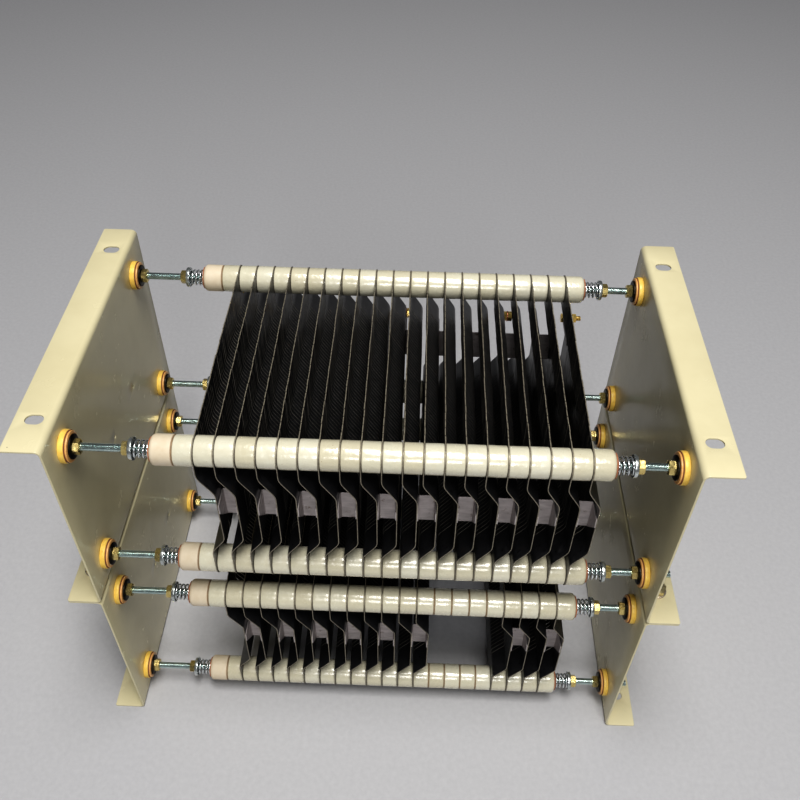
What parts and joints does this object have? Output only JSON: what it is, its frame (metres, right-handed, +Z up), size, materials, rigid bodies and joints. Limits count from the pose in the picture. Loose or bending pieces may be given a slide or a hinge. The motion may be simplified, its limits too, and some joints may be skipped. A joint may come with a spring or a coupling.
{
  "type": "grid resistor bank",
  "caption": "Open two-tier bank of black stamped resistor grids on porcelain-beaded tie rods between cream flanged end plates, for dropping heavy motor current as heat.",
  "frame": {"origin": "on the surface the bank stands on, under the middle of the frame", "axes": "+X along the tie rods towards the end nearer the empty bay of the lower tier, +Y from front to back, +Z up"},
  "size_m": [0.64, 0.336, 0.474],
  "materials": {
    "frame_paint": "satin cream paint on bent sheet steel",
    "rod_zinc": "blue-white zinc plate, threaded",
    "bead_glaze": "glossy off-white glaze",
    "grid_black": "black oxide skin with bare cut edges",
    "jumper_strip": "bare annealed strip",
    "tube_mica": "rolled mica",
    "bush_yellow": "yellow moulded resin",
    "gasket_fibre": "red-brown fibre",
    "cap_amber": "amber moulded resin",
    "washer_black": "blackened steel",
    "nut_zinc_yellow": "yellow passivated zinc plate",
    "seat_zinc": "zinc plate",
    "spring_zinc": "bright zinc plate",
    "washer_fibre": "red-brown fibre",
    "separator_mica": "pressed mica",
    "lug_strip": "bare annealed strip",
    "terminal_brass": "bright brass",
    "washer_copper": "copper",
    "bolt_zinc": "zinc plate",
    "washer_zinc": "zinc plate"
  },
  "bodies": {
    "root": {"upper_end_plate_left": "frame_paint", "upper_end_plate_right": "frame_paint", "lower_end_plate_left": "frame_paint", "lower_end_plate_right": "frame_paint", "upper_rod_front_top": "rod_zinc", "upper_rod_front_bottom": "rod_zinc", "upper_rod_back_top": "rod_zinc", "upper_rod_back_bottom": "rod_zinc", "lower_rod_front_top": "rod_zinc", "lower_rod_front_bottom": "rod_zinc", "lower_rod_back_top": "rod_zinc", "lower_rod_back_bottom": "rod_zinc", "upper_beads_front_top": "bead_glaze", "upper_beads_front_bottom": "bead_glaze", "upper_beads_back_top": "bead_glaze", "upper_beads_back_bottom": "bead_glaze", "lower_beads_front_top": "bead_glaze", "lower_beads_front_bottom": "bead_glaze", "lower_beads_back_top": "bead_glaze", "lower_beads_back_bottom": "bead_glaze", "upper_grid_01_02": "grid_black", "upper_grid_03_04": "grid_black", "upper_grid_05_06": "grid_black", "upper_grid_07_08": "grid_black", "upper_grid_09_10": "grid_black", "upper_grid_11_12": "grid_black", "upper_grid_13_14": "grid_black", "upper_grid_15_16": "grid_black", "upper_grid_17_18": "grid_black", "upper_grid_19_20": "grid_black", "lower_grid_01_02": "grid_black", "lower_grid_03_04": "grid_black", "lower_grid_05_06": "grid_black", "lower_grid_07_08": "grid_black", "lower_grid_09_10": "grid_black", "lower_grid_11_12": "grid_black", "lower_grid_17_18": "grid_black", "lower_grid_19_20": "grid_black", "upper_front_jumpers": "jumper_strip", "upper_back_jumpers": "jumper_strip", "lower_front_jumpers": "jumper_strip", "lower_back_jumpers": "jumper_strip", "insulating_tubes": "tube_mica", "bushes": "bush_yellow", "bush_gaskets": "gasket_fibre", "bush_caps": "cap_amber", "bush_washers": "washer_black", "frame_nuts": "nut_zinc_yellow", "stack_nuts": "nut_zinc_yellow", "spring_seats": "seat_zinc", "springs": "spring_zinc", "fibre_washers": "washer_fibre", "mica_separators": "separator_mica", "terminal_lugs": "lug_strip", "terminal_bolts": "terminal_brass", "terminal_washers": "washer_copper", "terminal_nuts": "terminal_brass", "tier_bolts": "bolt_zinc", "tier_washers": "washer_zinc", "tier_nuts": "bolt_zinc"}
  },
  "joints": []
}
